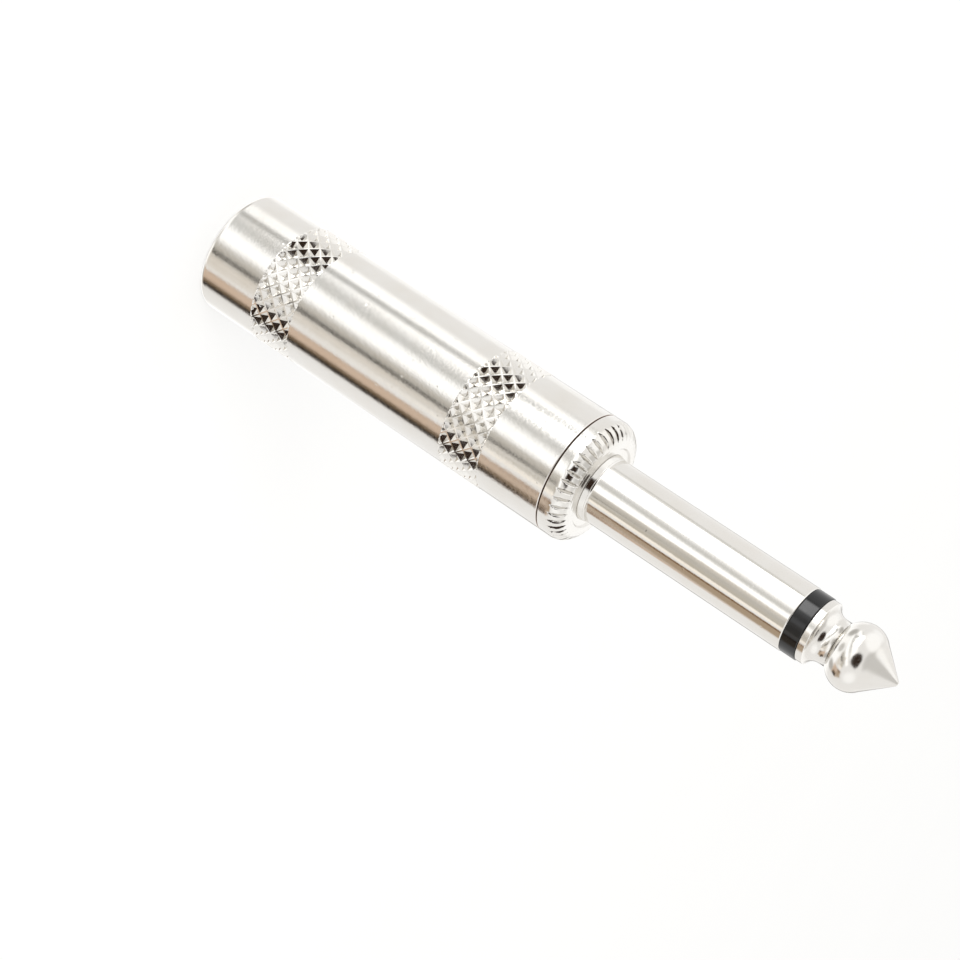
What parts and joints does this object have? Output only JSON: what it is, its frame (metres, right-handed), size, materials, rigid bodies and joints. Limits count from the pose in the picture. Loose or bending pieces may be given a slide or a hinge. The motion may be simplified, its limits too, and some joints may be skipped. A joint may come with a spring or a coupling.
{
  "type": "mono jack plug",
  "caption": "Metal 6.35 mm mono jack plug with a knurled screw-on shell, a fluted collar and a black ring behind its tip, standing on its cable end.",
  "frame": {"origin": "centre of the shell's rear face, the end the cable goes into", "axes": "+Z along the plug's axis towards the tip; the plug stands on its rear face"},
  "size_m": [0.0122, 0.0122, 0.0751],
  "materials": {
    "shell_nickel": "satin",
    "collar_nickel": "gloss",
    "sleeve_nickel": "gloss",
    "tip_nickel": "polished",
    "black_plastic": "gloss",
    "brown_fibre": "matte",
    "tinned_brass": "satin",
    "liner_plastic": "satin"
  },
  "bodies": {
    "barrel": {"shell": "shell_nickel"},
    "liner_tube": {"liner": "liner_plastic"},
    "insert": {"collar": "collar_nickel", "sleeve": "sleeve_nickel", "tip_insulator": "black_plastic", "tip_contact": "tip_nickel", "rear_bush": "brown_fibre", "sleeve_lug": "tinned_brass", "tip_lug": "tinned_brass", "rivet_washer": "tinned_brass"}
  },
  "joints": [
    {"name": "unscrew_turn", "type": "hinge", "parent": "barrel", "child": "liner_tube", "pos_m": [0, 0, 0.0409], "axis": [0, 0, 1], "range_deg": [0, 11160]},
    {"name": "unscrew_lift", "type": "slide", "parent": "liner_tube", "child": "insert", "axis": [0, 0, 1], "range_m": [0, 0.031]}
  ],
  "couplings": [
    {"joint": "unscrew_lift", "follows": "unscrew_turn", "m_per_rad": 0.00015915}
  ]
}
